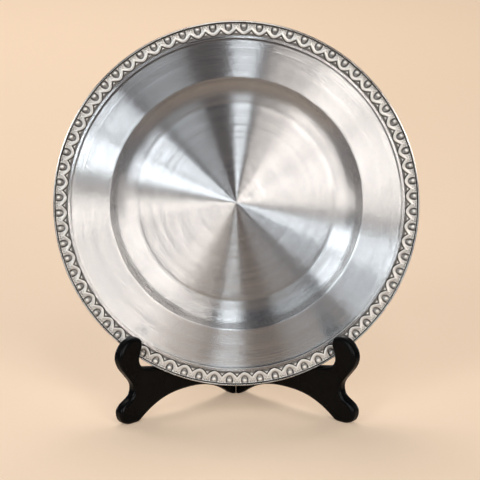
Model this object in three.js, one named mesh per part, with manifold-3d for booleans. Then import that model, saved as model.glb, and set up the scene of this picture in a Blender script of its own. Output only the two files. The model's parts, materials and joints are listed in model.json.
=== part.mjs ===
// A pewter display plate on its black folding stand.
// Millimetres, +Z up, the plate faces -Y, the stand's feet are on Z = 0.
import * as THREE from 'three';
import { mergeVertices } from 'three/addons/utils/BufferGeometryUtils.js';
import Module from 'manifold-3d';

const wasm = await Module();
wasm.setup();

// Plate sizes, from the rim to the middle
const plateRadius = 125;
const lipWidth = 1.6;
const lipHeight = 4.8;
const lipProud = 2.5;
const borderWidth = 10.2;
const borderThickness = 1.7;
const stripWidth = 1.7;
const channelDepth = 0.6;
const brimWidth = 26.9;
const brimRise = 2.6;
const coveWidth = 19.4;
const coveFlatShare = 0.7;
const coveTurnShare = 0.86;
const coveRiseShare = 0.33;
const wellDepth = 13;
const sheet = 1.6;
const beadTurn = THREE.MathUtils.degToRad(150);

// Stand sizes, seen along one of its two panels
const leanAngle = THREE.MathUtils.degToRad(9);
const halfOpening = THREE.MathUtils.degToRad(48);
const panelThickness = 8;
const edgeRound = 2.5;
const ledgeHeight = 33.9;
const ledgeSlope = 0.2;
const hookTop = 60.8;
const hookWidth = 17.8;
const waistDepth = 12.6;
const waistHeight = 22.6;
const footLength = 9;
const footSetback = 16.9;
const rearFootLength = 2.6;
const archHeight = 14.4;
const archBulge = 2.4;
const uprightTop = 148;
const uprightWidth = 23.2;
const noseRadius = 9;
const noseStart = THREE.MathUtils.degToRad(-25);
const neckDepth = 3.6;

// Butt hinges on the back edges
const hingeHeight = 24;
const lowerHingeCentre = 34;
const upperHingeCentre = 116;
const knuckleRadius = 2;
const pinRadius = 0.95;
const pinHeadRadius = 1.7;
const pinHeadHeight = 0.9;
const leafThickness = 1.2;
const leafWidth = 7;
const edgeSetback = 0.15;
const knuckleCount = 3;

// Countersunk screws
const screwMargin = 5.5;
const screwLength = 10;
const screwRadius = 1;
const screwHeadRadius = 1.9;
const screwHeadHeight = 1;
const screwPoint = 1.5;
const slotWidth = 0.5;
const slotDepth = 0.45;

// Clearances
const seam = 0.3;
const panelGap = 0.6;
const hookRoom = 5.6;
const ledgeRoom = 5;
const screwSink = 0.1;
const cutOver = 1;

// Facets
const plateFacets = 64;
const smallFacets = 12;
const coveSteps = 6;
const lipSteps = 6;
const roundSteps = 2;
const archSteps = 12;
const hookSteps = 38;
const armSteps = 16;
const noseSteps = 10;
const seatSamples = 60;
const weldDistance = 1e-4;

// Radii and heights of the plate in its own frame: base underside at 0, front face towards +Z
const lipMiddle = plateRadius - lipWidth / 2;
const lipInner = plateRadius - lipWidth;
const borderInner = lipInner - borderWidth;
const wellRadius = borderInner - brimWidth;
const floorRadius = wellRadius - coveWidth;
const wellTop = sheet + wellDepth;
const brimSlope = brimRise / (lipInner - wellRadius);
const sheetUpright = sheet * Math.hypot(1, brimSlope);
const brimFront = (radius) => wellTop + brimSlope * (radius - wellRadius);
const brimBack = (radius) => brimFront(radius) - sheetUpright;
const lipTop = brimFront(lipInner) + lipProud;
const lipCentre = lipTop - lipHeight / 2;

// The plate leans on the noses of the uprights: its base plane lies one seam in front of them
const alongPanel = Math.cos(leanAngle) * Math.cos(halfOpening);
const acrossPanel = -Math.cos(leanAngle) * Math.sin(halfOpening);
const upPanel = Math.sin(leanAngle);
const noseCentre = new THREE.Vector2(uprightWidth - noseRadius, uprightTop - noseRadius);
const noseReach = alongPanel * noseCentre.x + upPanel * noseCentre.y
  + acrossPanel * (panelGap / 2 + edgeRound)
  + (noseRadius - edgeRound) * Math.hypot(alongPanel, upPanel) + edgeRound;
const basePlane = noseReach + seam;

// Place along a panel where the plate's level passes, at a height and a distance across the panel
const plateCrossing = (level, height, across) =>
  (basePlane + level - upPanel * height - acrossPanel * across) / alongPanel;

const innerFace = panelGap / 2;
const outerFace = innerFace + panelThickness;
const hookMiddle = (ledgeHeight + hookTop) / 2;
const hookInner = plateCrossing(lipTop, hookMiddle, outerFace) + hookRoom;
const hookOuter = hookInner + hookWidth;
const ledgeBack = plateCrossing(lipTop - lipHeight, ledgeHeight, innerFace) - ledgeRoom;
const ledgeAt = (along) => ledgeHeight + ledgeSlope * (along - ledgeBack);
const footBack = hookOuter - footSetback;

// A closed panel runs forward from the pin, stands upright and is thick towards the left
const panelFrame = new THREE.Matrix4().makeBasis(
  new THREE.Vector3(0, -1, 0),
  new THREE.Vector3(0, 0, 1),
  new THREE.Vector3(-1, 0, 0),
);

function finish(color, roughness, metalness) {
  return new THREE.MeshStandardMaterial({ color, roughness, metalness });
}

const pewter = () => finish('#b9b4ab', 0.34, 1);
const oxidisedPewter = () => finish('#8f8b84', 0.45, 1);
const blackLacquer = () => finish('#0b0b0c', 0.25, 0);
const brass = () => finish('#b08d4a', 0.35, 1);

function part(name, geometry, material) {
  const mesh = new THREE.Mesh(geometry, material);
  mesh.name = name;
  return mesh;
}

// Booleans
function solid(geometry) {
  const bare = geometry.clone();
  bare.deleteAttribute('normal');
  bare.deleteAttribute('uv');
  const merged = mergeVertices(bare, weldDistance);
  const vertProperties = new Float32Array(merged.attributes.position.array);
  const triVerts = new Uint32Array(merged.index.array);
  return new wasm.Manifold(new wasm.Mesh({ numProp: 3, vertProperties, triVerts }));
}

function surface(manifold) {
  const mesh = manifold.getMesh();
  const geometry = new THREE.BufferGeometry();
  geometry.setAttribute('position', new THREE.BufferAttribute(new Float32Array(mesh.vertProperties), 3));
  geometry.setIndex(new THREE.BufferAttribute(new Uint32Array(mesh.triVerts), 1));
  geometry.computeVertexNormals();
  return geometry;
}

// A turned piece about Z from points of radius and height
function turned(points, facets) {
  const geometry = new THREE.LatheGeometry(points, facets);
  geometry.rotateX(Math.PI / 2);
  return geometry;
}

function rod(radius, from, to) {
  const geometry = new THREE.CylinderGeometry(radius, radius, to - from, smallFacets);
  geometry.rotateX(Math.PI / 2);
  geometry.translate(0, 0, (from + to) / 2);
  return geometry;
}

// A block in the closed frame of a panel: along it from the pin, across it, and up
function block(along, across, height) {
  const geometry = new THREE.BoxGeometry(along[1] - along[0], height[1] - height[0], across[1] - across[0]);
  geometry.translate((along[0] + along[1]) / 2, (height[0] + height[1]) / 2, (across[0] + across[1]) / 2);
  geometry.applyMatrix4(panelFrame);
  return geometry;
}

// Plate: one spun sheet with a rolled bead at its edge
function lipPoint(angle) {
  return new THREE.Vector2(
    lipMiddle + lipWidth / 2 * Math.cos(angle),
    lipCentre + lipHeight / 2 * Math.sin(angle),
  );
}

function dishGeometry() {
  const cove = new THREE.CubicBezierCurve(
    new THREE.Vector2(floorRadius, sheet),
    new THREE.Vector2(floorRadius + coveWidth * coveFlatShare, sheet),
    new THREE.Vector2(floorRadius + coveWidth * coveTurnShare, sheet + wellDepth * coveRiseShare),
    new THREE.Vector2(wellRadius, wellTop),
  );
  const coveFront = cove.getPoints(coveSteps);
  const offset = (point, index) => {
    const tangent = cove.getTangent(index / coveSteps);
    return new THREE.Vector2(point.x + sheet * tangent.y, point.y - sheet * tangent.x);
  };
  const coveBack = coveFront.map(offset).filter((point) => point.y < brimBack(point.x) - seam);
  const bead = [];
  for (let step = 0; step <= lipSteps; step += 1) {
    bead.push(lipPoint(beadTurn * (1 - 2 * step / lipSteps)));
  }
  const wellCorner = wellRadius + sheet;
  const points = [
    new THREE.Vector2(0, sheet),
    ...coveFront,
    new THREE.Vector2(lipInner, brimFront(lipInner)),
    ...bead,
    new THREE.Vector2(lipInner, brimBack(lipInner)),
    new THREE.Vector2(wellCorner, brimBack(wellCorner)),
    ...coveBack.reverse(),
    new THREE.Vector2(0, 0),
  ];
  return turned(points.reverse(), plateFacets);
}

// Border: a cast ring on the brim, with a plain strip inside and a sunk channel for the ornament
function borderGeometry() {
  const outer = lipInner - seam;
  const seat = (radius) => brimFront(radius) + seam;
  const face = (radius) => seat(radius) + borderThickness;
  const channelFrom = borderInner + stripWidth;
  const channelTo = outer - stripWidth / 3;
  const points = [
    new THREE.Vector2(borderInner, seat(borderInner)),
    new THREE.Vector2(outer, seat(outer)),
    new THREE.Vector2(outer, face(outer)),
    new THREE.Vector2(channelTo, face(channelTo)),
    new THREE.Vector2(channelTo - channelDepth, face(channelTo) - channelDepth),
    new THREE.Vector2(channelFrom + channelDepth, face(channelFrom) - channelDepth),
    new THREE.Vector2(channelFrom, face(channelFrom)),
    new THREE.Vector2(borderInner + stripWidth / 4, face(borderInner)),
    new THREE.Vector2(borderInner, face(borderInner) - stripWidth / 4),
    new THREE.Vector2(borderInner, seat(borderInner)),
  ];
  return turned(points, plateFacets);
}

// Outline of a panel: distance from the pin along the panel, and height
function panelOutline() {
  const points = [];
  const place = (along, height) => points.push(new THREE.Vector2(along, height));
  const follow = (stops, steps) => {
    const curve = new THREE.SplineCurve(stops.map(([along, height]) => new THREE.Vector2(along, height)));
    points.push(...curve.getPoints(steps));
  };
  const tail = -panelThickness;

  // Rear foot and the arch between the feet
  place(tail, 0);
  for (let step = 0; step <= archSteps; step += 1) {
    const share = step / archSteps;
    const rise = 1 - Math.abs(2 * share - 1) ** archBulge;
    place(THREE.MathUtils.lerp(rearFootLength, footBack, share), archHeight * rise);
  }

  // Front foot, toe, waist and hook, as shares of the hook's width and heights
  const toe = (back, share) => [hookOuter - back * hookWidth, share * waistHeight];
  const waist = hookOuter - waistDepth;
  const bulge = (back, share) => [
    hookOuter - back * hookWidth, waistHeight + share * (hookTop - waistHeight),
  ];
  const notchFloor = ledgeAt(hookInner);
  const notch = (back, share) => [
    hookOuter - back * hookWidth, notchFloor + share * (hookTop - notchFloor),
  ];
  const footFront = footBack + footLength;
  const ledgeFront = hookOuter - 1.4 * hookWidth;
  follow([
    [footFront, 0], toe(0.15, 0.1), toe(0.02, 0.32), toe(0.05, 0.53), toe(0.27, 0.68),
    toe(0.58, 0.82), [waist, waistHeight], bulge(0.68, 0.14), bulge(0.42, 0.3), bulge(0.13, 0.47),
    bulge(0, 0.64), bulge(0.08, 0.81), bulge(0.35, 0.945), bulge(0.7, 1), bulge(1.02, 0.975),
    notch(1.16, 0.82), notch(1.13, 0.63), notch(1.03, 0.38), notch(1, 0.21), notch(1.13, 0.02),
    [ledgeFront, ledgeAt(ledgeFront)],
  ], hookSteps);

  // Ledge, the hollow sweep of the arm up to the neck, and the nose that the plate leans on
  const neck = uprightWidth - neckDepth;
  const armRise = noseCentre.y - ledgeHeight;
  const armRun = ledgeBack - neck;
  const sweep = (out, share) => [neck + out * armRun, ledgeHeight + share * armRise];
  const nosePoint = (angle) => [
    noseCentre.x + noseRadius * Math.cos(angle), noseCentre.y + noseRadius * Math.sin(angle),
  ];
  follow([
    [ledgeBack, ledgeHeight], sweep(0.8, 0.015), sweep(0.56, 0.065), sweep(0.32, 0.17),
    sweep(0.13, 0.33), sweep(0.03, 0.52), sweep(0, 0.7), sweep(0.012, 0.86), nosePoint(noseStart),
  ], armSteps);
  for (let step = 1; step <= noseSteps; step += 1) {
    place(...nosePoint(THREE.MathUtils.lerp(noseStart, Math.PI / 2, step / noseSteps)));
  }
  place(tail, uprightTop);
  return points;
}

// A countersunk screw driven into the back edge of a panel, or with extra room the hole for it
function screwGeometry(room) {
  const head = knuckleRadius - leafThickness + screwSink;
  const shank = head + screwHeadHeight;
  const tip = head + screwLength;
  const mouth = room === 0 ? head : head - cutOver;
  const points = [
    new THREE.Vector2(0, mouth),
    new THREE.Vector2(screwHeadRadius + room, mouth),
    new THREE.Vector2(screwHeadRadius + room, head),
    new THREE.Vector2(screwRadius + room, shank),
    new THREE.Vector2(screwRadius + room, tip - screwPoint),
    new THREE.Vector2(0, tip + room),
  ];
  if (room === 0) {
    points.splice(1, 1);
  }
  const geometry = new THREE.LatheGeometry(points, smallFacets);
  geometry.rotateZ(Math.PI);
  return geometry;
}

const screwAcross = (panelGap / 2 + panelThickness) / 2;
const hinges = [['upper', upperHingeCentre], ['lower', lowerHingeCentre]];
const screwReach = hingeHeight / 2 - screwMargin;
const screwHeights = (centre) => [centre + screwReach, centre - screwReach];

function screwPlace(geometry, height) {
  geometry.translate(-screwAcross, 0, height);
  return geometry;
}

// Panel: the outline with rounded edges, a square back edge, hinge pockets and screw holes
function panelGeometry() {
  const body = new THREE.ExtrudeGeometry(new THREE.Shape(panelOutline()), {
    depth: panelThickness - 2 * edgeRound,
    bevelThickness: edgeRound,
    bevelSize: edgeRound,
    bevelOffset: -edgeRound,
    bevelSegments: roundSteps,
  });
  body.translate(0, 0, innerFace + edgeRound);
  body.applyMatrix4(panelFrame);
  const beyond = 2 * panelThickness;
  let panel = solid(body).subtract(
    solid(block([-beyond, edgeSetback], [-beyond, beyond], [-beyond, uprightTop + beyond])),
  );
  for (const [, centre] of hinges) {
    const half = hingeHeight / 2 + seam;
    const pocket = block(
      [-cutOver, knuckleRadius + seam],
      [-cutOver, leafWidth + seam],
      [centre - half, centre + half],
    );
    panel = panel.subtract(solid(pocket));
    const pinEnd = half + pinHeadHeight + seam;
    panel = panel.subtract(solid(rod(knuckleRadius + seam, centre - pinEnd, centre + pinEnd)));
    for (const height of screwHeights(centre)) {
      panel = panel.subtract(solid(screwPlace(screwGeometry(seam), height)));
    }
  }
  return surface(panel);
}

// Hinge leaf: a flat plate let into the back edge, with its own share of the knuckles
function leafGeometry(centre, ownKnuckles) {
  const pitch = hingeHeight / knuckleCount;
  const bottom = centre - hingeHeight / 2;
  const plateAlong = [knuckleRadius - leafThickness, knuckleRadius];
  let leaf = solid(block(plateAlong, [seam, leafWidth], [bottom, bottom + hingeHeight]));
  for (let row = 0; row < knuckleCount; row += 1) {
    const low = bottom + row * pitch;
    const high = low + pitch;
    if (ownKnuckles.includes(row)) {
      const trimLow = row === 0 ? 0 : seam / 2;
      const trimHigh = row === knuckleCount - 1 ? 0 : seam / 2;
      leaf = leaf.add(solid(rod(knuckleRadius, low + trimLow, high - trimHigh)));
    } else {
      leaf = leaf.subtract(solid(rod(knuckleRadius + seam, low - seam / 2, high + seam / 2)));
    }
  }
  leaf = leaf.subtract(solid(rod(pinRadius + seam, bottom - cutOver, bottom + hingeHeight + cutOver)));
  for (const height of screwHeights(centre)) {
    leaf = leaf.subtract(solid(screwPlace(screwGeometry(seam), height)));
  }
  return surface(leaf);
}

function pinGeometry(centre) {
  const end = hingeHeight / 2 + seam;
  const dome = end + pinHeadHeight;
  const points = [
    new THREE.Vector2(0, -dome),
    new THREE.Vector2(pinHeadRadius * 0.7, -dome + pinHeadHeight * 0.2),
    new THREE.Vector2(pinHeadRadius, -end),
    new THREE.Vector2(pinRadius, -end),
    new THREE.Vector2(pinRadius, end),
    new THREE.Vector2(pinHeadRadius, end),
    new THREE.Vector2(pinHeadRadius * 0.7, dome - pinHeadHeight * 0.2),
    new THREE.Vector2(0, dome),
  ];
  const geometry = turned(points, smallFacets);
  geometry.translate(0, 0, centre);
  return geometry;
}

function slottedScrew(height) {
  const head = knuckleRadius - leafThickness + screwSink;
  const slot = block(
    [head - cutOver, head + slotDepth],
    [screwAcross - screwHeadRadius - cutOver, screwAcross + screwHeadRadius + cutOver],
    [height - slotWidth / 2, height + slotWidth / 2],
  );
  return surface(solid(screwPlace(screwGeometry(0), height)).subtract(solid(slot)));
}

// One half of the stand, swung out from the closed position about the pins
function standHalf(side, ownKnuckles) {
  const half = new THREE.Group();
  half.rotation.z = -halfOpening;
  half.add(part(`${side}_panel`, panelGeometry(), blackLacquer()));
  for (const [level, centre] of hinges) {
    half.add(part(`${level}_hinge_${side}_leaf`, leafGeometry(centre, ownKnuckles), brass()));
    screwHeights(centre).forEach((height, index) => {
      half.add(part(`${level}_hinge_${side}_screw_${index + 1}`, slottedScrew(height), brass()));
    });
  }
  return half;
}

// Height of the plate's middle above the floor, measured up the leaning plate:
// the bead rests one seam above the rounded ledges
function plateRise() {
  let rise = -Infinity;
  for (let row = 0; row <= seatSamples; row += 1) {
    const depth = edgeRound * row / seatSamples;
    const drop = edgeRound - Math.sqrt(edgeRound ** 2 - (edgeRound - depth) ** 2);
    const across = innerFace + depth;
    for (let column = 0; column <= seatSamples; column += 1) {
      const bead = lipPoint(Math.PI * (column / seatSamples - 0.5));
      const level = plateCrossing(bead.y, 0, across);
      const height = (ledgeAt(level) - drop) / (1 + ledgeSlope * upPanel / alongPanel);
      const along = plateCrossing(bead.y, height, across);
      const sideways = along * Math.sin(halfOpening) + across * Math.cos(halfOpening);
      const back = across * Math.sin(halfOpening) - along * Math.cos(halfOpening);
      const seat = back * Math.sin(leanAngle) + height * Math.cos(leanAngle);
      rise = Math.max(rise, seat + Math.sqrt((bead.x + seam) ** 2 - sideways ** 2));
    }
  }
  return rise;
}

const leftHalf = standHalf('left', [0, 2]);
const rightHalf = new THREE.Group();
rightHalf.add(standHalf('right', [1]));
rightHalf.scale.x = -1;

const stand = new THREE.Group();
stand.add(leftHalf, rightHalf);
for (const [level, centre] of hinges) {
  stand.add(part(`${level}_hinge_pin`, pinGeometry(centre), brass()));
}

const plate = new THREE.Group();
plate.add(part('plate_dish', dishGeometry(), pewter()));
plate.add(part('border_ring', borderGeometry(), oxidisedPewter()));
plate.rotation.x = Math.PI / 2 - leanAngle;
const facing = new THREE.Vector3(0, -Math.cos(leanAngle), Math.sin(leanAngle));
const rising = new THREE.Vector3(0, Math.sin(leanAngle), Math.cos(leanAngle));
plate.position.addScaledVector(facing, basePlane).addScaledVector(rising, plateRise());

// The origin is under the middle of the whole display
const display = new THREE.Group();
display.add(stand, plate);
display.updateMatrixWorld(true);
const box = new THREE.Box3().setFromObject(display, true);
display.position.set(-(box.min.x + box.max.x) / 2, -(box.min.y + box.max.y) / 2, -box.min.z);

const object = new THREE.Group();
object.add(display);
object.updateMatrixWorld(true);

export default object;
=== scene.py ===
import json
import math

import bpy
import numpy as np
from mathutils import Matrix, Vector


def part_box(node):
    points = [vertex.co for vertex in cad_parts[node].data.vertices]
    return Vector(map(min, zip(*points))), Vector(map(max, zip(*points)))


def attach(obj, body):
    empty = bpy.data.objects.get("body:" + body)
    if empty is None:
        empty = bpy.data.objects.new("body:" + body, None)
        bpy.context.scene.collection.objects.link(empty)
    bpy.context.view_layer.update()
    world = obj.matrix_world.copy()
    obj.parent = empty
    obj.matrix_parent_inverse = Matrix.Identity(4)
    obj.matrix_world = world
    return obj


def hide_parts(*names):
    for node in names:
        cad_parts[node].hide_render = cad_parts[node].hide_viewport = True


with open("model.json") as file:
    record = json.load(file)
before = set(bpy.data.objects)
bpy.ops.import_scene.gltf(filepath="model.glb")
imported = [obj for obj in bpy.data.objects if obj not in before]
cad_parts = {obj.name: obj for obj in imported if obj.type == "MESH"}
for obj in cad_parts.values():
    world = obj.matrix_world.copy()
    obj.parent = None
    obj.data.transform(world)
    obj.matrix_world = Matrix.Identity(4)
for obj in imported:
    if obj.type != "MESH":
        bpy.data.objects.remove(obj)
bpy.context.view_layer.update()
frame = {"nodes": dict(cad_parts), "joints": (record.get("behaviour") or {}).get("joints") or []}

MM = 0.001
TINY = 1e-6

# Plate, in millimetres in its own frame: base underside at 0, front towards +Z
LIP_WIDTH = 1.6
LIP_HEIGHT = 4.8
LIP_PROUD = 2.5
BORDER_WIDTH = 10.2
BORDER_THICKNESS = 1.7
BRIM_WIDTH = 26.9
BRIM_RISE = 2.6
COVE_WIDTH = 19.4
COVE_FLAT_SHARE = 0.7
COVE_TURN_SHARE = 0.86
COVE_RISE_SHARE = 0.33
WELL_DEPTH = 13
GROOVE_DEPTH = 0.28
GROOVE_FALL = 1.8
GROOVE_RISE = 3.3
WELL_ROUND = 0.9
SHEET = 1.6
SEAM = 0.3
PLATE_SEGMENTS = 288
COVE_STEPS = 60

# The plate's profile: places as shares of a width or in millimetres, step counts, the bead's turn in degrees
FLOOR_SHARES = (0.01, 0.3, 0.6, 0.9)
BACK_FLOOR_SHARES = (0.9, 0.5, 0.01)
GROOVE_LEAD = 0.3
GROOVE_BEND = 0.7
GROOVE_STEPS = 9
WELL_ROUND_STEPS = 8
BRIM_MARGIN = 3
BRIM_STEPS = 12
BACK_BRIM_STEPS = 10
BACK_MARGIN = 0.2
LIP_OVERLAP = 0.2
LIP_TURN = 150
LIP_STEPS = 25

# Ornament of the border, radial measures as shares of the border's width
REPEATS = 72
STEPS_PER_REPEAT = 32
RADIAL_STEPS = 48
STRIP_END = 0.18
STRIP_BLEND = 0.02
SCALLOP_START = 0.23
SCALLOP_REACH = 0.34
SCALLOP_POWER = 1.8
SCALLOP_BAND = 0.15
SCALLOP_BLEND = 0.05
FIELD_HEIGHT = 0.72
BUD_CENTRE = 0.8
BUD_RADIUS = 0.14
SLIT_ASIDE = 0.2
SLIT_INWARD = 0.3
SLIT_WIDTH = 0.2
SLIT_LEAST = 0.5
SHEATH_BLEND = 0.1
SHEATH_DEPTH = 0.4
SHEATH_END = 0.97
SHEATH_FADE = 0.04
STRIPE_DEPTH = 0.12
STRIPE_RATE = 70
# Pits: distance aside from the line between two buds, place across the border and depth
PITS = ((0, 0.88, 0.5), (0.12, 0.91, 0.4), (0.08, 0.72, 0.2), (0.17, 0.83, 0.25))
PIT_WIDTH = 0.04
HOLLOW_HEIGHT = 0.36
HOLLOW_EDGE = 0.03
HOLLOW_BLEND = 0.08
BEAD_START = 0.26
BEAD_GAP = 0.05
BEAD_FLARE = 0.8
BEAD_BLEND = 0.05
BEAD_ASIDE = 0.25
# Depth of the relief and rounding of the strip's edge in millimetres, least forward part of its normals
RELIEF_DEPTH = 0.75
STRIP_EDGE = 0.2
STRIP_FACING = 0.5

# Stand panels, in millimetres along a panel from the pin, up from the floor and across the panel
PANEL_THICKNESS = 8
PANEL_GAP = 0.6
EDGE_ROUND = 2.5
EDGE_SETBACK = -0.2
LEDGE_HEIGHT = 33.9
LEDGE_SLOPE = 0.2
LEDGE_ROOM = 5
HOOK_TOP = 60.8
HOOK_WIDTH = 17.8
HOOK_ROOM = 5.6
WAIST_DEPTH = 12.6
WAIST_HEIGHT = 22.6
FOOT_LENGTH = 9
FOOT_SETBACK = 16.9
REAR_FOOT = 2.6
REAR_ROUND = 0.3
ARCH_HEIGHT = 14.4
ARCH_BULGE = 2.4
UPRIGHT_WIDTH = 23.2
NOSE_RADIUS = 9
NOSE_START = math.radians(-25)
NECK_DEPTH = 3.6
# Places on the toe, hook and slot, as shares of the hook's width in from its front and of each one's height
TOE = ((0.15, 0.1), (0.02, 0.32), (0.05, 0.53), (0.27, 0.68), (0.58, 0.82))
BULGE = (
    (0.68, 0.14), (0.42, 0.3), (0.13, 0.47), (0, 0.64), (0.08, 0.81), (0.35, 0.945), (0.7, 1), (1.02, 0.975),
)
NOTCH = ((1.16, 0.82), (1.13, 0.63), (1.03, 0.38), (1, 0.21), (1.13, 0.02))
LEDGE_FRONT = 1.4
# Places on the sweep of the arm, as shares of its reach out from the neck and of its height
SWEEP = ((0.8, 0.015), (0.56, 0.065), (0.32, 0.17), (0.13, 0.33), (0.03, 0.52), (0, 0.7), (0.012, 0.86))
ARCH_STEPS = 80
HOOK_STEPS = 240
NOSE_STEPS = 24
ARM_STEPS = 120
OUTLINE_STEP = 0.8
SMOOTHING_PASSES = 6
ROUNDING_PASSES = 24
ROUNDING_ROOM = 0.85
REAR_GROWTH = 0.5
BACK_STEPS = 40
ROUND_ROWS = 8

# Hinges and their screws
HINGES = {"upper": 116, "lower": 34}
OWN_KNUCKLES = {"left": (0, 2), "right": (1,)}
HINGE_HEIGHT = 24
KNUCKLE_COUNT = 3
KNUCKLE_RADIUS = 2
PIN_RADIUS = 0.95
PIN_HEAD_RADIUS = 1.7
PIN_HEAD_HEIGHT = 0.9
LEAF_THICKNESS = 1.2
LEAF_WIDTH = 7
SCREW_MARGIN = 5.5
SCREW_LENGTH = 10
SCREW_RADIUS = 1
SCREW_POINT = 1.5
SCREW_HEAD_RADIUS = 1.9
SCREW_HEAD_HEIGHT = 1
SCREW_SINK = 0.1
SLOT_WIDTH = 0.5
SLOT_DEPTH = 0.45
DOME_STEPS = 5
ROUND_SEGMENTS = 40
CUT_OVER = 1
LEAF_EDGE = 0.1
SCREW_EDGE = 0.05
EDGE_SEGMENTS = 2
# Turns of the screws' slots in radians, as they were driven home
SLOT_START = 0.4
SLOT_STEP = 1.1
# Angles in degrees up to which neighbouring faces are shaded as one
SMOOTH_PLATE = 50
SMOOTH_ORNAMENT = 60
SMOOTH_STAND = 35

# Finishes: widths of the brushed and the toned rings in millimetres, tilts of the brushed ones in and out
BRUSH_WIDTH = 0.01
BRUSH_LEAN = (0.35, -0.5)
BRUSH_ROUGHNESS = 0.24
BRUSH_TURN = 0.25
RING_WIDTH = 0.8
RING_DETAIL = 3
NOISE_SPAN = (0.3, 0.7)
PEWTER_DARK = (0.7, 0.685, 0.675)
PEWTER_LIGHT = (0.76, 0.745, 0.735)
BEAD_GROOVE = 1.25
GROOVE_BLEND = 0.3
GROOVE_RISING = (0, 0.9)
WEAR_TONE = (-0.1, 0.1)
EDGE_TONES = ((0.15, (0.02, 0.016, 0.012)), (0.6, (0.3, 0.28, 0.25)), (1, (0.86, 0.84, 0.81)))
OXIDE = (
    (0, (0.045, 0.038, 0.033)),
    (0.35, (0.2, 0.185, 0.17)),
    (0.7, (0.74, 0.695, 0.64)),
    (1, (0.88, 0.835, 0.78)),
)
STAIN_SPAN = (0.25, 0.75)
STAIN_TONE = (-0.12, 0.12)
LACQUER_DARK = (0.0008, 0.0008, 0.001)
LACQUER_LIGHT = (0.0025, 0.0023, 0.0023)
LACQUER_SHINE = 0.14
BRASS_DARK = (0.5, 0.34, 0.13)
BRASS_LIGHT = (0.74, 0.55, 0.26)
HAZE_SPAN = (0.3, 0.75)
# Soft noise: width of its patches in millimetres and detail
WEAR = (15, 4)
STAINS = (1.2, 5)
HAZE = (14, 5)
TARNISH = (3, 5)
CAST_GRAIN = (0.35, 3)
LACQUER_GRAIN = (2.5, 2)
BRASS_GRAIN = (0.3, 3)
# Heights of the fine grain in millimetres
CAST_GRAIN_HEIGHT = 0.05
LACQUER_GRAIN_HEIGHT = 0.02
BRASS_GRAIN_HEIGHT = 0.01
# Roughness from the low to the high end of what it follows
EDGE_ROUGHNESS = (0.22, 0.34)
CAST_ROUGHNESS = (0.62, 0.42)
LACQUER_ROUGHNESS = (0.22, 0.36)
BRASS_ROUGHNESS = (0.42, 0.26)

# Softboxes round the plate as the camera sees it: direction anticlockwise from the right, distance off the
# middle and width, all in degrees, brightness in watts for each square metre, and colour
WARM = (1, 0.96, 0.92)
COOL = (0.86, 0.94, 1)
SOFTBOXES = {
    "right_edge": (-6, 28, 16, 0.35, WARM),
    "right_box": (18, 27, 28, 1.15, WARM),
    "upper_box": (46, 27, 28, 1.15, WARM),
    "upper_edge": (68, 44, 16, 0.62, WARM),
    "top_strip": (86, 43, 11, 1.1, COOL),
    "left_fill": (121, 44, 24, 0.38, COOL),
    "left_edge": (145, 44, 16, 1.2, COOL),
    "left_box": (161, 33, 14, 1.6, COOL),
    "low_left_box": (183, 28, 12, 0.75, WARM),
}
LIGHT_DISTANCE = 1.8
LIGHT_LENGTH = 0.6
LIGHT_SPREAD = 40

# Two lamps behind the plate, as far off as the softboxes, and one above and behind it
REAR_ASIDE = {"left": -1.1, "right": 1.1}
REAR_RAISE = 0.14
REAR_SIZE = (0.9, 0.5)
REAR_POWER = 0.7
BACK_PLACE = (-0.4, 1.6, 2.3)
BACK_SIZE = (2, 2)
BACK_POWER = 25
BACK_COLOR = (1, 0.95, 0.88)
BACK_SPREAD = 120

# Floor and backdrop, in metres: colours to the camera and in reflections, and how they change with distance
FLOOR_REACH = 12
FLOOR_ROUGHNESS = 0.7
FLOOR_SEEN = (0.85, 0.66, 0.49)
# Painted shade: the floor's colour in the metal's reflections farther from the plate
FLOOR_REFLECTED_SHADE = (0.3, 0.28, 0.29)
# Distances from the plate over which the reflected floor fades from a painted pool of light into painted
# shade
FLOOR_SHADE_FADE = (0.15, 0.25)
FLOOR_LIFT = (0.27, 0.68)
LIFT_CENTRE = (0, 1, 0)
LIFT_REACH = (0.9, 2.4)
WORLD_SEEN = (0.8, 0.63, 0.47)
WORLD_LIGHT = (0.064, 0.063, 0.07)

# Camera, from the photograph's 480 pixel frame
IMAGE_SIZE = 480
FOCAL_PIXELS = 2202
SENSOR_WIDTH = 36
CAMERA_DISTANCE = 1.5
CAMERA_ELEVATION = math.radians(14)
CAMERA_AZIMUTH = math.radians(-0.9)
RIM_PIXEL = (236.5, 204.9)


def matrix_of(x_axis, y_axis, z_axis, origin):
    matrix = Matrix.Identity(4)
    for column, vector in enumerate((x_axis, y_axis, z_axis, origin)):
        for row in range(3):
            matrix[row][column] = vector[row]
    return matrix


def plate_frame():
    """Matrix of the plate's own frame, read from the symmetry of its solid."""
    points = np.array([v.co for v in frame["nodes"]["plate_dish"].data.vertices], float)
    middle = points.mean(0)
    spread = np.cov((points - middle).T)
    axis = np.linalg.eigh(spread)[1][:, 0]
    if axis[1] > 0:
        axis = -axis
    base = middle + axis * ((points - middle) @ axis).min()
    z_axis = Vector(axis)
    x_axis = Vector((1, 0, 0))
    return matrix_of(x_axis, z_axis.cross(x_axis), z_axis, Vector(base))


PLATE_MATRIX = plate_frame()
PLATE_AXIS = PLATE_MATRIX.col[2].to_3d()
PLATE_BASE = PLATE_MATRIX.translation
PLATE_RADIUS = (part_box("plate_dish")[1].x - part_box("plate_dish")[0].x) / 2 / MM

lip_inner = PLATE_RADIUS - LIP_WIDTH
lip_middle = PLATE_RADIUS - LIP_WIDTH / 2
border_inner = lip_inner - BORDER_WIDTH
well_radius = border_inner - BRIM_WIDTH
floor_radius = well_radius - COVE_WIDTH
well_top = SHEET + WELL_DEPTH
brim_slope = BRIM_RISE / (lip_inner - well_radius)


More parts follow.
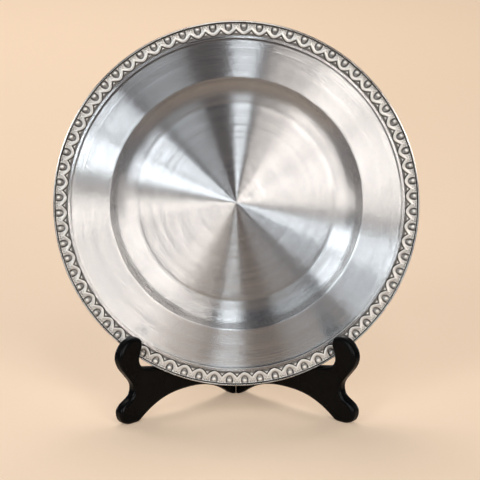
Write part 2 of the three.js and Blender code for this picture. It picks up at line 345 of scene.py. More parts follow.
def brim_front(radius):
    return well_top + brim_slope * (radius - well_radius)


lip_top = brim_front(lip_inner) + LIP_PROUD
lip_centre = lip_top - LIP_HEIGHT / 2

# The stand's pin line, its opening and the frames of its two halves
FOLD = next(joint for joint in frame["joints"] if joint["name"] == "stand_fold")
PIN = Vector(FOLD["pos_m"])
HALF_OPENING = math.radians(FOLD["range_deg"][1]) / 2
UPRIGHT_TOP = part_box("left_panel")[1].z / MM
INNER_FACE = PANEL_GAP / 2
OUTER_FACE = INNER_FACE + PANEL_THICKNESS


def half_frame(side):
    """Matrix of one half of the stand in millimetres: X along it from the pin, Y up, Z across it."""
    hand = 1 if side == "left" else -1
    along = Vector((-hand * math.sin(HALF_OPENING), -math.cos(HALF_OPENING), 0))
    across = Vector((-hand * math.cos(HALF_OPENING), math.sin(HALF_OPENING), 0))
    return matrix_of(along * MM, Vector((0, 0, MM)), across * MM, PIN)


def plate_crossing(level, height, across):
    """Place along a panel where a level of the plate passes, at a height and a distance across."""
    along_axis, up_axis, across_axis = (half_frame("left").col[i].to_3d() / MM for i in range(3))
    base_plane = PLATE_AXIS.dot(PLATE_BASE - PIN) / MM
    reach = base_plane + level - PLATE_AXIS.dot(up_axis) * height - PLATE_AXIS.dot(across_axis) * across
    return reach / PLATE_AXIS.dot(along_axis)


# Mesh helpers
def make_object(name, vertices, faces):
    mesh = bpy.data.meshes.new(name)
    mesh.from_pydata([tuple(v) for v in vertices], [], faces)
    mesh.validate()
    piece = bpy.data.objects.new(name, mesh)
    bpy.context.scene.collection.objects.link(piece)
    return piece


def smooth(piece, angle):
    piece.data.polygons.foreach_set("use_smooth", [True] * len(piece.data.polygons))
    piece.data.set_sharp_from_angle(angle=math.radians(angle))


def bezier(a, b, c, d, steps):
    share = np.linspace(0, 1, steps + 1)[:, None]
    a, b, c, d = (np.array(p, float) for p in (a, b, c, d))
    rest = 1 - share
    return rest ** 3 * a + 3 * rest ** 2 * share * b + 3 * rest * share ** 2 * c + share ** 3 * d


def spline(stops, steps):
    """Points along a smooth curve through the stops."""
    stops = np.array(stops, float)
    last = len(stops) - 1
    place = np.linspace(0, last, steps + 1)
    first = np.minimum(place.astype(int), last - 1)
    share = (place - first)[:, None]
    a = stops[first]
    b = stops[first + 1]
    leaving = (b - stops[np.maximum(first - 1, 0)]) / 2
    arriving = (stops[np.minimum(first + 2, last)] - a) / 2
    cubic = 2 * a - 2 * b + leaving + arriving
    square = 3 * b - 3 * a - 2 * leaving - arriving
    return ((cubic * share + square) * share + leaving) * share + a


def turned(name, profile, segments):
    """A closed turned piece about Z: the profile runs from the axis in front to the axis behind."""
    profile = np.array(profile, float)
    inner = profile[1:-1]
    angles = np.arange(segments) * 2 * math.pi / segments
    rows = [np.stack([r * np.cos(angles), r * np.sin(angles), np.full(segments, z)], 1) for r, z in inner]
    vertices = list(np.concatenate(rows)) + [(0, 0, profile[0][1]), (0, 0, profile[-1][1])]
    first = len(inner) * segments
    faces = []
    for row in range(len(inner) - 1):
        for step in range(segments):
            after = (step + 1) % segments
            low = row * segments
            high = low + segments
            faces.append((low + step, high + step, high + after, low + after))
    last = (len(inner) - 1) * segments
    for step in range(segments):
        after = (step + 1) % segments
        faces.append((first, step, after))
        faces.append((first + 1, last + after, last + step))
    return make_object(name, vertices, faces)


def stacked(name, loops):
    """A closed piece from loops of equally many points, each loop anticlockwise about +Z, lowest first."""
    count = len(loops[0])
    faces = [tuple(reversed(range(count)))]
    for row in range(len(loops) - 1):
        for step in range(count):
            after = (step + 1) % count
            low = row * count
            high = low + count
            faces.append((low + step, low + after, high + after, high + step))
    top = (len(loops) - 1) * count
    faces.append(tuple(range(top, top + count)))
    return make_object(name, np.concatenate(loops), faces)


def block(name, along, up, across):
    """A block in the frame of one half of the stand."""
    corners = [(along[0], up[0]), (along[1], up[0]), (along[1], up[1]), (along[0], up[1])]
    return stacked(name, [np.array([(x, y, z) for x, y in corners], float) for z in across])


def rod(name, radius, low, high):
    """An upright round rod about the pin line, in the frame of one half of the stand."""
    piece = turned(name, [(0, high), (radius, high), (radius, low), (0, low)], ROUND_SEGMENTS)
    piece.data.transform(Matrix.Rotation(-math.pi / 2, 4, "X"))
    return piece


def combine(piece, others, operation):
    """Joins other closed pieces to a piece or cuts them out of it, and removes them."""
    for other in others:
        modifier = piece.modifiers.new(other.name, "BOOLEAN")
        modifier.operation = operation
        modifier.solver = "EXACT"
        modifier.object = other
    evaluated = piece.evaluated_get(bpy.context.evaluated_depsgraph_get())
    result = bpy.data.meshes.new_from_object(evaluated)
    piece.modifiers.clear()
    piece.data = result
    for other in others:
        bpy.data.objects.remove(other)


# Plate
def ease(share):
    share = np.clip(share, 0, 1)
    return share * share * (3 - 2 * share)


def groove(radius):
    """Depth of the shallow turned groove that ends the floor."""
    falling = ease((radius - floor_radius) / GROOVE_FALL + GROOVE_LEAD)
    rising = ease((radius - floor_radius - GROOVE_BEND * GROOVE_FALL) / GROOVE_RISE)
    return GROOVE_DEPTH * (falling - rising)


def dish_profile():
    """Front of the plate from the middle to the bead, then back along the underside."""
    cove = bezier(
        (floor_radius, SHEET),
        (floor_radius + COVE_WIDTH * COVE_FLAT_SHARE, SHEET),
        (floor_radius + COVE_WIDTH * COVE_TURN_SHARE, SHEET + WELL_DEPTH * COVE_RISE_SHARE),
        (well_radius, well_top),
        COVE_STEPS,
    )
    points = [(0, SHEET)]
    points += [(floor_radius * share, SHEET) for share in FLOOR_SHARES]
    floor_end = np.linspace(floor_radius - GROOVE_FALL, floor_radius, GROOVE_STEPS)
    points += [(r, SHEET - groove(r)) for r in floor_end]
    steep = [p for p in cove[1:] if p[0] < well_radius - WELL_ROUND]
    points += [(r, z - groove(r)) for r, z in steep]
    corner = (well_radius, well_top)
    brim_start = (well_radius + WELL_ROUND, brim_front(well_radius + WELL_ROUND))
    points += [tuple(p) for p in bezier(steep[-1], corner, corner, brim_start, WELL_ROUND_STEPS)[1:]]
    brim_ends = (well_radius + BRIM_MARGIN, lip_inner - LIP_OVERLAP)
    points += [(r, brim_front(r)) for r in np.linspace(*brim_ends, BRIM_STEPS)]
    for angle in np.linspace(LIP_TURN, -LIP_TURN, LIP_STEPS):
        turn = math.radians(angle)
        points.append((
            lip_middle + LIP_WIDTH / 2 * math.cos(turn),
            lip_centre + LIP_HEIGHT / 2 * math.sin(turn),
        ))
    points += [(r, brim_front(r) - SHEET) for r in np.linspace(*reversed(brim_ends), BACK_BRIM_STEPS)]
    along = np.diff(cove, axis=0)
    along /= np.linalg.norm(along, axis=1)[:, None]
    behind = (cove[:-1] + cove[1:]) / 2 + SHEET * np.stack([along[:, 1], -along[:, 0]], 1)
    points += [tuple(p) for p in behind[::-1] if p[1] < brim_front(p[0]) - SHEET - BACK_MARGIN]
    points += [(floor_radius * share, 0) for share in BACK_FLOOR_SHARES]
    points.append((0, 0))
    return points


def place_on_plate(piece, node):
    piece.data.transform(Matrix.Scale(MM, 4))
    piece.matrix_world = PLATE_MATRIX
    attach(piece, "plate")
    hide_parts(node)


def relief_height(across, radial):
    """Height of the ornament, 0 in its hollows and 1 on the plain strip.

    across runs from -0.5 to 0.5 over one repeat, radial from 0 at the inner edge to 1 at the outer one."""
    pitch = 2 * math.pi * (border_inner + BORDER_WIDTH / 2) / REPEATS / BORDER_WIDTH
    aside = np.abs(across) * pitch
    between = pitch / 2 - aside

    def dome(distance, radius):
        return np.sqrt(np.clip(1 - (distance / radius) ** 2, 0, 1))

    def bump(distance, width):
        return np.exp(-(distance / width) ** 2)

    # Scallops bulge towards the middle of the plate, with a rounded band along their edge
    edge = SCALLOP_START + SCALLOP_REACH * np.abs(2 * across) ** SCALLOP_POWER
    band = dome(radial - edge - SCALLOP_BAND / 2, SCALLOP_BAND)
    inside = ease((radial - edge) / SCALLOP_BLEND + 0.5)
    height = inside * (FIELD_HEIGHT + (1 - FIELD_HEIGHT) * band)
    # A bud under each scallop, in a grooved sheath with a slit round it that is deepest at its sides
    inward = BUD_CENTRE - radial
    around = np.hypot(aside / SLIT_ASIDE, inward / SLIT_INWARD)
    sideways = (aside / SLIT_ASIDE / np.maximum(around, TINY)) ** 2
    slit = bump(around - 1, SLIT_WIDTH) * (SLIT_LEAST + (1 - SLIT_LEAST) * sideways)
    stripes = SHEATH_DEPTH + STRIPE_DEPTH * np.cos(aside * STRIPE_RATE)
    sheath = ease((1 - around) / SHEATH_BLEND) * stripes
    height *= 1 - np.maximum(slit, sheath) * ease((SHEATH_END - radial) / SHEATH_FADE)
    height = np.maximum(height, dome(np.hypot(aside, inward), BUD_RADIUS))
    # Small pits between the buds
    for place, level, depth in PITS:
        height -= depth * bump(np.hypot(between - place, radial - level), PIT_WIDTH)
    # The hollow between two scallops: dark along their edges, with a bead in its corner
    hollow = edge - radial
    height += (1 - inside) * HOLLOW_HEIGHT * ease((hollow - HOLLOW_EDGE) / HOLLOW_BLEND)
    bead = ease((np.minimum(BEAD_FLARE * hollow, radial - BEAD_START) - BEAD_GAP) / BEAD_BLEND)
    height = np.maximum(height, bead * (between < BEAD_ASIDE))
    strip = ease((STRIP_END + STRIP_BLEND - radial) / (2 * STRIP_BLEND))
    return np.clip(np.maximum(height, strip), 0, 1)


def border_ring():
    outer = lip_inner - SEAM
    radii = np.linspace(border_inner, outer, RADIAL_STEPS + 1)
    steps = REPEATS * STEPS_PER_REPEAT
    angles = np.arange(steps) * 2 * math.pi / steps
    across = (np.arange(steps) % STEPS_PER_REPEAT) / STEPS_PER_REPEAT - 0.5
    grid_across, grid_radial = np.meshgrid(across, (radii - border_inner) / BORDER_WIDTH)
    height = relief_height(grid_across, grid_radial)
    face = np.array([brim_front(r) + SEAM + BORDER_THICKNESS for r in radii])[:, None]
    level = face - RELIEF_DEPTH * (1 - height)
    grid_radii = np.repeat(radii[:, None], steps, 1)
    seat = np.array([brim_front(border_inner) + SEAM, brim_front(outer) + SEAM])
    rows = [
        (np.full(steps, border_inner), np.full(steps, seat[0]), np.zeros(steps)),
        (np.full(steps, border_inner), level[0] - 2 * STRIP_EDGE, height[0]),
    ]
    for index in range(RADIAL_STEPS + 1):
        radius = grid_radii[index] + (STRIP_EDGE if index == 0 else 0)
        rows.append((radius, level[index], height[index]))
    rows.append((np.full(steps, outer), np.full(steps, seat[1]), np.zeros(steps)))
    vertices = []
    values = []
    for radius, z, value in rows:
        vertices.append(np.stack([radius * np.cos(angles), radius * np.sin(angles), z], 1))
        values.append(value)
    vertices = np.concatenate(vertices)
    count = len(rows)
    faces = []
    for row in range(count):
        low = row * steps
        high = ((row + 1) % count) * steps
        for step in range(steps):
            after = (step + 1) % steps
            faces.append((low + step, high + step, high + after, low + after))
    ring = make_object("border_ornament", vertices, faces)
    relief = ring.data.attributes.new("relief", "FLOAT", "POINT")
    relief.data.foreach_set("value", np.concatenate(values).astype(np.float32))
    return ring


# Stand
def averaged(values):
    """Values evened out along a run whose two ends stay."""
    evened = values.copy()
    evened[1:-1] = (values[:-2] + 2 * values[1:-1] + values[2:]) / 4
    return evened


def panel_outline():
    """Outline of a panel in even steps, from its rear foot forward and round to the top of its back edge."""
    hook_inner = plate_crossing(lip_top, (LEDGE_HEIGHT + HOOK_TOP) / 2, OUTER_FACE) + HOOK_ROOM
    hook_outer = hook_inner + HOOK_WIDTH
    ledge_back = plate_crossing(lip_top - LIP_HEIGHT, LEDGE_HEIGHT, INNER_FACE) - LEDGE_ROOM
    foot_back = hook_outer - FOOT_SETBACK

    def ledge_at(along):
        return LEDGE_HEIGHT + LEDGE_SLOPE * (along - ledge_back)

    def toe(back, share):
        return hook_outer - back * HOOK_WIDTH, share * WAIST_HEIGHT

    def bulge(back, share):
        return hook_outer - back * HOOK_WIDTH, WAIST_HEIGHT + share * (HOOK_TOP - WAIST_HEIGHT)

    def notch(back, share):
        floor_height = ledge_at(hook_inner)
        return hook_outer - back * HOOK_WIDTH, floor_height + share * (HOOK_TOP - floor_height)

    share = np.linspace(0, 1, ARCH_STEPS + 1)
    arch = np.stack([
        REAR_FOOT + share * (foot_back - REAR_FOOT),
        ARCH_HEIGHT * (1 - np.abs(2 * share - 1) ** ARCH_BULGE),
    ], 1)
    ledge_front = hook_outer - LEDGE_FRONT * HOOK_WIDTH
    hook = spline([
        (foot_back + FOOT_LENGTH, 0),
        *(toe(*place) for place in TOE),
        (hook_outer - WAIST_DEPTH, WAIST_HEIGHT),
        *(bulge(*place) for place in BULGE),
        *(notch(*place) for place in NOTCH),
        (ledge_front, ledge_at(ledge_front)),
    ], HOOK_STEPS)
    neck = UPRIGHT_WIDTH - NECK_DEPTH
    nose_centre = np.array([UPRIGHT_WIDTH - NOSE_RADIUS, UPRIGHT_TOP - NOSE_RADIUS])
    turns = np.linspace(NOSE_START, math.pi / 2, NOSE_STEPS + 1)
    nose = nose_centre + NOSE_RADIUS * np.stack([np.cos(turns), np.sin(turns)], 1)

    def sweep(out, share):
        return neck + out * (ledge_back - neck), LEDGE_HEIGHT + share * (nose_centre[1] - LEDGE_HEIGHT)

    arm = spline([
        (ledge_back, LEDGE_HEIGHT),
        *(sweep(*place) for place in SWEEP),
        tuple(nose[0]),
    ], ARM_STEPS)
    start = np.array([[EDGE_SETBACK, 0]])
    end = np.array([[EDGE_SETBACK, UPRIGHT_TOP]])
    run = np.concatenate([start, arch, hook, arm, nose[1:], end])
    lengths = np.concatenate([[0], np.cumsum(np.linalg.norm(np.diff(run, axis=0), axis=1))])
    stops = np.linspace(0, lengths[-1], int(lengths[-1] / OUTLINE_STEP))
    outline = np.stack([np.interp(stops, lengths, run[:, i]) for i in range(2)], 1)
    for _ in range(SMOOTHING_PASSES):
        outline = averaged(outline)
    return outline


def edge_rounding(outline, inward):
    """Radius of the rounded edge at each point: smaller where the outline leaves less room."""
    offsets = outline[None] - outline[:, None]
    depth = (offsets * inward[:, None]).sum(2)
    square = (offsets ** 2).sum(2)
    room = np.where(depth > TINY, square / np.maximum(2 * depth, TINY), np.inf).min(1)
    rounding = np.minimum(EDGE_ROUND, ROUNDING_ROOM * room)
    rear = REAR_ROUND + REAR_GROWTH * np.maximum(outline[:, 0] - REAR_FOOT, 0)
    rounding = np.minimum(rounding, rear)
    for _ in range(ROUNDING_PASSES):
        rounding = np.minimum(rounding, averaged(rounding))
    return rounding


def panel(name):
    """A panel in its own frame: rounded front edges and a square back edge with hinge pockets."""
    outline = panel_outline()
    tangent = np.gradient(outline, axis=0)
    tangent[0] = (1, 0)
    tangent[-1] = (-1, 0)
    tangent /= np.linalg.norm(tangent, axis=1)[:, None]
    inward = np.stack([-tangent[:, 1], tangent[:, 0]], 1)
    rounding = edge_rounding(outline, inward)
    turns = np.linspace(0, math.pi / 2, ROUND_ROWS)
    rows = [(1 - math.sin(turn), EDGE_ROUND * (1 - math.cos(turn))) for turn in turns]
    rows += [(share, PANEL_THICKNESS - depth) for share, depth in reversed(rows)]
    loops = []
    for share, depth in rows:
        front = outline + inward * (rounding * share)[:, None]
        heights = np.linspace(front[-1, 1], front[0, 1], BACK_STEPS)[1:-1]
        back = np.stack([np.full(len(heights), EDGE_SETBACK), heights], 1)
        loop = np.concatenate([front, back])
        loops.append(np.column_stack([loop, np.full(len(loop), INNER_FACE + depth)]))
    piece = stacked(name, loops)
    cuts = []
    for level, centre in HINGES.items():
        half = HINGE_HEIGHT / 2 + SEAM
        pin_end = half + PIN_HEAD_HEIGHT + SEAM
        cuts.append(block(
            level + "_pocket",
            (-CUT_OVER, KNUCKLE_RADIUS + SEAM),
            (centre - half, centre + half),
            (-CUT_OVER, LEAF_WIDTH + SEAM),
        ))
        cuts.append(rod(level + "_relief", KNUCKLE_RADIUS + SEAM, centre - pin_end, centre + pin_end))
    combine(piece, cuts, "DIFFERENCE")
    return piece


def screw_heights(centre):
    reach = HINGE_HEIGHT / 2 - SCREW_MARGIN
    return centre + reach, centre - reach


SCREW_ACROSS = OUTER_FACE / 2
SCREW_HEAD = KNUCKLE_RADIUS - LEAF_THICKNESS + SCREW_SINK


def screw(name, height, slot_turn, room):
    """A slotted countersunk screw in the back edge or, with extra room, the hole for it."""
    mouth = CUT_OVER if room else 0
    profile = [
        (0, mouth),
        (SCREW_HEAD_RADIUS + room, mouth),
        (SCREW_HEAD_RADIUS + room, -SCREW_SINK),
        (SCREW_RADIUS + room, -SCREW_HEAD_HEIGHT),
        (SCREW_RADIUS + room, SCREW_POINT - SCREW_LENGTH),
        (0, -SCREW_LENGTH - room),
    ]
    piece = turned(name, profile, ROUND_SEGMENTS)
    if not room:
        reach = SCREW_HEAD_RADIUS + CUT_OVER
        half = SLOT_WIDTH / 2
        slot = block(name + "_slot", (-reach, reach), (-half, half), (-SLOT_DEPTH, CUT_OVER))
        combine(piece, [slot], "DIFFERENCE")
    outward = Vector((-1, 0, 0))
    sideways = Vector((0, math.cos(slot_turn), math.sin(slot_turn)))
    place = Vector((SCREW_HEAD, height, SCREW_ACROSS))
    piece.data.transform(matrix_of(sideways, outward.cross(sideways), outward, place))
    return piece


def leaf(name, centre, own):
    """A hinge leaf: a flat plate with its own share of the knuckles."""
    pitch = HINGE_HEIGHT / KNUCKLE_COUNT
    bottom = centre - HINGE_HEIGHT / 2
    top = bottom + HINGE_HEIGHT
    piece = block(name, (KNUCKLE_RADIUS - LEAF_THICKNESS, KNUCKLE_RADIUS), (bottom, top), (SEAM, LEAF_WIDTH))
    added = []
    cuts = [rod("bore", PIN_RADIUS + SEAM, bottom - CUT_OVER, top + CUT_OVER)]
    for row in range(KNUCKLE_COUNT):
        low = bottom + row * pitch
        high = low + pitch
        if row in own:
            trim_low = SEAM / 2 if row > 0 else 0
            trim_high = SEAM / 2 if row < KNUCKLE_COUNT - 1 else 0
            added.append(rod(f"knuckle_{row}", KNUCKLE_RADIUS, low + trim_low, high - trim_high))
        else:
            cuts.append(rod(f"room_{row}", KNUCKLE_RADIUS + SEAM, low - SEAM / 2, high + SEAM / 2))
    cuts += [screw(f"hole_{height}", height, 0, SEAM) for height in screw_heights(centre)]
    combine(piece, added, "UNION")
    combine(piece, cuts, "DIFFERENCE")
    return piece


def pin(name, centre):
    end = HINGE_HEIGHT / 2 + SEAM
    turns = np.linspace(math.pi / 2, 0, DOME_STEPS + 1)
    dome = [(PIN_HEAD_RADIUS * math.cos(t), end + PIN_HEAD_HEIGHT * math.sin(t)) for t in turns]
    upper = [(0, dome[0][1])] + dome[1:] + [(PIN_RADIUS, end)]
    profile = upper + [(radius, -height) for radius, height in reversed(upper)]
    piece = turned(name, profile, ROUND_SEGMENTS)
    piece.data.transform(Matrix.Translation((PIN.x, PIN.y, centre * MM)) @ Matrix.Scale(MM, 4))
    return piece


def place_on_half(piece, side, node):
    """Moves a piece made in the frame of one half of the stand to its place there."""
    matrix = half_frame(side)
    piece.data.transform(matrix)
    if matrix.determinant() < 0:
        piece.data.flip_normals()
    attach(piece, side + "_half")
    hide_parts(node)


# Materials
def new_material(name):
    material = bpy.data.materials.new(name)
    material.use_nodes = True
    nodes = material.node_tree.nodes
    return material, nodes, material.node_tree.links, nodes["Principled BSDF"]


def feed(links, node, sources):
    """Gives a node's inputs their values, each from a socket or as it is."""
    for socket, source in zip(node.inputs, sources):
        if isinstance(source, bpy.types.NodeSocket):
            links.new(source, socket)
        else:
            socket.default_value = source


def math_node(nodes, links, operation, *sources):
    """A calculation whose sources are sockets or plain numbers."""
    node = nodes.new("ShaderNodeMath")
    node.operation = operation
    feed(links, node, sources)
    return node.outputs["Value"]


def vector_node(nodes, links, operation, *sources):
    """A vector calculation whose sources are sockets or plain vectors."""
    node = nodes.new("ShaderNodeVectorMath")
    node.operation = operation
    feed(links, node, sources)
    return node


def map_range(nodes, links, value, source, target):
    node = nodes.new("ShaderNodeMapRange")
    for socket, number in zip(("From Min", "From Max", "To Min", "To Max"), (*source, *target)):
        node.inputs[socket].default_value = number
    links.new(value, node.inputs["Value"])
    return node.outputs["Result"]


def ramp(nodes, links, value, stops):
    """Colours along a value, from stops of place and colour."""
    node = nodes.new("ShaderNodeValToRGB")
    elements = node.color_ramp.elements
    stops = list(stops)
    while len(elements) < len(stops):
        elements.new(0.5)
    for element, (place, color) in zip(elements, stops):
        element.position = place
        element.color = (*color, 1)
    links.new(value, node.inputs["Fac"])
    return node.outputs["Color"]


def clouds(nodes, links, size, detail):
    """Soft noise whose patches are about so many millimetres wide."""
    place = nodes.new("ShaderNodeTexCoord")
    noise = nodes.new("ShaderNodeTexNoise")
    noise.inputs["Scale"].default_value = 1 / (size * MM)
    noise.inputs["Detail"].default_value = detail
    links.new(place.outputs["Object"], noise.inputs["Vector"])
    return noise.outputs["Fac"]


def turned_radius(nodes, links):
    """Distance from the axis of a turned piece, in metres."""
    place = nodes.new("ShaderNodeTexCoord")
    flat = vector_node(nodes, links, "MULTIPLY", place.outputs["Object"], (1, 1, 0))
    return vector_node(nodes, links, "LENGTH", flat.outputs["Vector"]).outputs["Value"]


def turned_rings(nodes, links, width, kind):
    """A random value for each turned ring of a width in millimetres, sharp from ring to ring or flowing."""
    count = math_node(nodes, links, "DIVIDE", turned_radius(nodes, links), width * MM)
    noise = nodes.new("ShaderNodeTexWhiteNoise" if kind == "sharp" else "ShaderNodeTexNoise")
    noise.noise_dimensions = "1D"
    if kind == "sharp":
        links.new(math_node(nodes, links, "FLOOR", count), noise.inputs["W"])
        return noise.outputs["Value"]
    noise.inputs["Scale"].default_value = 1
    noise.inputs["Detail"].default_value = RING_DETAIL
    links.new(count, noise.inputs["W"])
    return noise.outputs["Fac"]


def roughen(nodes, links, shader, value, height):
    """A fine uneven surface, so many millimetres high."""
    bump = nodes.new("ShaderNodeBump")
    bump.inputs["Distance"].default_value = height * MM
    links.new(value, bump.inputs["Height"])
    links.new(bump.outputs["Normal"], shader.inputs["Normal"])


def pewter_material():
    """Pewter brushed on a lathe: fine rings lean in and out, so that light spreads across them."""
    material, nodes, links, shader = new_material("brushed_pewter")
    shader.inputs["Metallic"].default_value = 1
    shader.inputs["Roughness"].default_value = BRUSH_ROUGHNESS
    shader.inputs["Anisotropic"].default_value = 1
    shader.inputs["Anisotropic Rotation"].default_value = BRUSH_TURN
    rings = turned_rings(nodes, links, RING_WIDTH, "flowing")
    tone = ramp(nodes, links, rings, zip(NOISE_SPAN, (PEWTER_DARK, PEWTER_LIGHT)))
    links.new(tone, shader.inputs["Base Color"])
    tangent = nodes.new("ShaderNodeTangent")
    tangent.direction_type = "RADIAL"
    tangent.axis = "Z"
    links.new(tangent.outputs["Tangent"], shader.inputs["Tangent"])
    brush = turned_rings(nodes, links, BRUSH_WIDTH, "sharp")
    tilt = map_range(nodes, links, brush, (0, 1), BRUSH_LEAN)
    normal = nodes.new("ShaderNodeNewGeometry").outputs["Normal"]
    inward = vector_node(nodes, links, "CROSS_PRODUCT", normal, tangent.outputs["Tangent"])
    lean = vector_node(nodes, links, "SCALE", inward.outputs["Vector"])
    links.new(tilt, lean.inputs["Scale"])
    tilted = vector_node(nodes, links, "ADD", normal, lean.outputs["Vector"])
    even = vector_node(nodes, links, "NORMALIZE", tilted.outputs["Vector"])
    links.new(even.outputs["Vector"], shader.inputs["Normal"])
    return material


def rolled_edge_material():
    """The plate's rolled bead, bright on its crest and dark in the groove inside it."""
    material, nodes, links, shader = new_material("rolled_edge")
    shader.inputs["Metallic"].default_value = 1
    crest = (PLATE_RADIUS - BEAD_GROOVE) * MM
    blend = GROOVE_BLEND * MM
    radius = turned_radius(nodes, links)
    rise = map_range(nodes, links, radius, (crest - blend, crest + blend), GROOVE_RISING)
    wear = clouds(nodes, links, *WEAR)
    tone = math_node(nodes, links, "ADD", rise, map_range(nodes, links, wear, NOISE_SPAN, WEAR_TONE))
    links.new(ramp(nodes, links, tone, EDGE_TONES), shader.inputs["Base Color"])
    links.new(map_range(nodes, links, wear, NOISE_SPAN, EDGE_ROUGHNESS), shader.inputs["Roughness"])
    return material


def ornament_material():
    """Cast pewter: bright on the relief, with dark oxide in its hollows."""
    material, nodes, links, shader = new_material("oxidised_pewter")
    shader.inputs["Metallic"].default_value = 1
    relief = nodes.new("ShaderNodeAttribute")
    relief.attribute_name = "relief"
    patches = map_range(nodes, links, clouds(nodes, links, *STAINS), STAIN_SPAN, STAIN_TONE)
    stain = math_node(nodes, links, "ADD", relief.outputs["Fac"], patches)
    links.new(ramp(nodes, links, stain, OXIDE), shader.inputs["Base Color"])
    links.new(map_range(nodes, links, stain, (0, 1), CAST_ROUGHNESS), shader.inputs["Roughness"])
    roughen(nodes, links, shader, clouds(nodes, links, *CAST_GRAIN), CAST_GRAIN_HEIGHT)
    return material


def lacquer_material():
    """Gloss black lacquer, slightly uneven as brushed lacquer dries."""
    material, nodes, links, shader = new_material("black_lacquer")
    shader.inputs["Specular IOR Level"].default_value = LACQUER_SHINE
    haze = clouds(nodes, links, *HAZE)
    tone = ramp(nodes, links, haze, zip(HAZE_SPAN, (LACQUER_DARK, LACQUER_LIGHT)))
    links.new(tone, shader.inputs["Base Color"])
    links.new(map_range(nodes, links, haze, NOISE_SPAN, LACQUER_ROUGHNESS), shader.inputs["Roughness"])
    roughen(nodes, links, shader, clouds(nodes, links, *LACQUER_GRAIN), LACQUER_GRAIN_HEIGHT)
    return material


def brass_material():
    """Satin brass with darker patches and fine wear."""
    material, nodes, links, shader = new_material("satin_brass")
    shader.inputs["Metallic"].default_value = 1
    tarnish = clouds(nodes, links, *TARNISH)
    tone = ramp(nodes, links, tarnish, zip(NOISE_SPAN, (BRASS_DARK, BRASS_LIGHT)))
    links.new(tone, shader.inputs["Base Color"])
    links.new(map_range(nodes, links, tarnish, NOISE_SPAN, BRASS_ROUGHNESS), shader.inputs["Roughness"])
    roughen(nodes, links, shader, clouds(nodes, links, *BRASS_GRAIN), BRASS_GRAIN_HEIGHT)
    return material


# Pieces in place
def finish_where(piece, material, wanted):
    """Gives the faces of a piece that are wanted a second finish."""
    piece.data.materials.append(material)
    for face in piece.data.polygons:
        if wanted(face):
            face.material_index = 1


def build_plate():
    pewter = pewter_material()
    dish = turned("plate", dish_profile(), PLATE_SEGMENTS)
    smooth(dish, SMOOTH_PLATE)
    dish.data.materials.append(pewter)
    finish_where(dish, rolled_edge_material(), lambda face: face.center.xy.length > lip_inner)
    place_on_plate(dish, "plate_dish")

    strip_inner = border_inner + STRIP_EDGE
    strip_outer = border_inner + STRIP_END * BORDER_WIDTH

    def on_strip(face):
        return strip_inner < face.center.xy.length < strip_outer and face.normal.z > STRIP_FACING

    ring = border_ring()
    smooth(ring, SMOOTH_ORNAMENT)
    ring.data.materials.append(ornament_material())
    finish_where(ring, pewter, on_strip)
    place_on_plate(ring, "border_ring")


def soften(piece, material, width):
    """Rounds the small edges of a piece of the stand and gives it its finish."""
    smooth(piece, SMOOTH_STAND)
    piece.data.materials.clear()
    piece.data.materials.append(material)
    if width:
        bevel = piece.modifiers.new("edges", "BEVEL")
        bevel.width = width * MM
        bevel.segments = EDGE_SEGMENTS
        bevel.limit_method = "ANGLE"
    normals = piece.modifiers.new("normals", "WEIGHTED_NORMAL")
    normals.keep_sharp = True


def build_stand():
    lacquer = lacquer_material()
    brass = brass_material()
    for side in ("left", "right"):
        board = panel(side + "_board")
        soften(board, lacquer, 0)
        place_on_half(board, side, side + "_panel")
        for level, centre in HINGES.items():
            node = f"{level}_hinge_{side}"
            flap = leaf(f"{level}_{side}_leaf", centre, OWN_KNUCKLES[side])
            soften(flap, brass, LEAF_EDGE)
            place_on_half(flap, side, node + "_leaf")
            for index, height in enumerate(screw_heights(centre), 1):
                slot_turn = SLOT_START + SLOT_STEP * index + centre
                fastener = screw(f"{level}_{side}_screw_{index}", height, slot_turn, 0)
                soften(fastener, brass, SCREW_EDGE)
                place_on_half(fastener, side, f"{node}_screw_{index}")
    for level, centre in HINGES.items():
        axle = pin(level + "_pin", centre)
        soften(axle, brass, 0)
        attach(axle, "right_half")
        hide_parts(level + "_hinge_pin")


build_plate()
build_stand()


# Floor, light and camera
def floor_material():
    """A pale floor to the camera; in the metal's reflections a painted pool of light near the plate that
    fades into painted shade farther off.
    """
    material, nodes, links, shader = new_material("pale_floor")
    shader.inputs["Roughness"].default_value = FLOOR_ROUGHNESS
    shader.inputs["Emission Color"].default_value = (*FLOOR_SEEN, 1)
    seen = nodes.new("ShaderNodeLightPath").outputs["Is Camera Ray"]
    place = nodes.new("ShaderNodeTexCoord").outputs["Object"]
    off = vector_node(nodes, links, "DISTANCE", place, LIFT_CENTRE).outputs["Value"]
    lift = map_range(nodes, links, off, LIFT_REACH, FLOOR_LIFT)
    # Painted light: reflections see the pale floor near the plate and painted shade farther off
    into_shade = map_range(nodes, links, turned_radius(nodes, links), FLOOR_SHADE_FADE, (0, 1))
    painted_pool = math_node(nodes, links, "MAXIMUM", seen, math_node(nodes, links, "SUBTRACT", 1, into_shade))
    links.new(ramp(nodes, links, painted_pool, ((0, FLOOR_REFLECTED_SHADE), (1, FLOOR_SEEN))), shader.inputs["Base Color"])
    links.new(math_node(nodes, links, "MULTIPLY", seen, lift), shader.inputs["Emission Strength"])
    return material


def build_floor():
    corners = [(x * FLOOR_REACH, y * FLOOR_REACH, 0) for x, y in ((-1, -1), (1, -1), (1, 1), (-1, 1))]
    floor = make_object("floor", corners, [(0, 1, 2, 3)])
    floor.data.materials.append(floor_material())


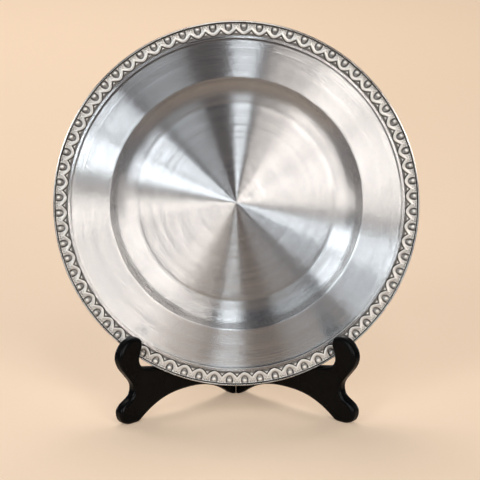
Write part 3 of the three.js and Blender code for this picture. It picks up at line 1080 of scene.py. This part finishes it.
def build_world():
    """Soft light from all round, and a pale backdrop that only the camera sees."""
    world = bpy.data.worlds.new("studio")
    world.use_nodes = True
    nodes = world.node_tree.nodes
    links = world.node_tree.links
    seen = nodes.new("ShaderNodeLightPath").outputs["Is Camera Ray"]
    backdrop = ramp(nodes, links, seen, ((0, WORLD_LIGHT), (1, WORLD_SEEN)))
    links.new(backdrop, nodes["Background"].inputs["Color"])
    bpy.context.scene.world = world


rim_middle = PLATE_MATRIX @ Vector((0, 0, lip_top * MM))
to_camera = Vector((
    math.sin(CAMERA_AZIMUTH) * math.cos(CAMERA_ELEVATION),
    -math.cos(CAMERA_AZIMUTH) * math.cos(CAMERA_ELEVATION),
    math.sin(CAMERA_ELEVATION),
))
# The middle of what the plate reflects to the camera, and the two directions across it
reflected = 2 * PLATE_AXIS.dot(to_camera) * PLATE_AXIS - to_camera
beside = Vector((0, 0, 1)).cross(reflected).normalized()
above = reflected.cross(beside)


def area_light(name, matrix, size, power, color, spread):
    light = bpy.data.lights.new(name, "AREA")
    light.shape = "RECTANGLE"
    light.size = size[0]
    light.size_y = size[1]
    light.energy = power
    light.color = color
    light.spread = math.radians(spread)
    lamp = bpy.data.objects.new(name, light)
    lamp.matrix_world = matrix
    bpy.context.scene.collection.objects.link(lamp)


def facing_plate(facing, sideways):
    """Matrix of a lamp that faces the plate from a direction."""
    return matrix_of(sideways, facing.cross(sideways), facing, PLATE_BASE + facing * LIGHT_DISTANCE)


def softbox(name, clock, off, span, brightness, color):
    """A softbox that faces the plate, off the middle of what the plate reflects."""
    clock = math.radians(clock)
    off = math.radians(off)
    outward = math.cos(clock) * beside + math.sin(clock) * above
    facing = math.cos(off) * reflected + math.sin(off) * outward
    sideways = math.cos(clock) * above - math.sin(clock) * beside
    width = 2 * LIGHT_DISTANCE * math.sin(off) * math.tan(math.radians(span) / 2)
    power = brightness * width * LIGHT_LENGTH
    area_light(name, facing_plate(facing, sideways), (width, LIGHT_LENGTH), power, color, LIGHT_SPREAD)


def build_lights():
    for name, values in SOFTBOXES.items():
        softbox(name, *values)
    for side, aside in REAR_ASIDE.items():
        facing = Vector((aside, 1, REAR_RAISE)).normalized()
        sideways = Vector((0, 0, 1)).cross(facing).normalized()
        area_light("rear_" + side, facing_plate(facing, sideways), REAR_SIZE, REAR_POWER, WARM, LIGHT_SPREAD)
    area_light("back_light", Matrix.Translation(BACK_PLACE), BACK_SIZE, BACK_POWER, BACK_COLOR, BACK_SPREAD)


def build_camera():
    """The photograph's camera, turned so that the rim's middle falls on its pixel there."""
    pitch = CAMERA_ELEVATION - math.atan((RIM_PIXEL[1] - IMAGE_SIZE / 2) / FOCAL_PIXELS)
    yaw = CAMERA_AZIMUTH + math.atan((RIM_PIXEL[0] - IMAGE_SIZE / 2) / FOCAL_PIXELS)
    camera_data = bpy.data.cameras.new("camera")
    camera_data.sensor_width = SENSOR_WIDTH
    camera_data.lens = FOCAL_PIXELS / IMAGE_SIZE * SENSOR_WIDTH
    camera = bpy.data.objects.new("camera", camera_data)
    camera.location = rim_middle + to_camera * CAMERA_DISTANCE
    camera.rotation_euler = (math.pi / 2 - pitch, 0, yaw)
    bpy.context.scene.collection.objects.link(camera)
    bpy.context.scene.camera = camera


build_floor()
build_world()
build_lights()
build_camera()
bpy.context.scene.view_settings.view_transform = "Standard"
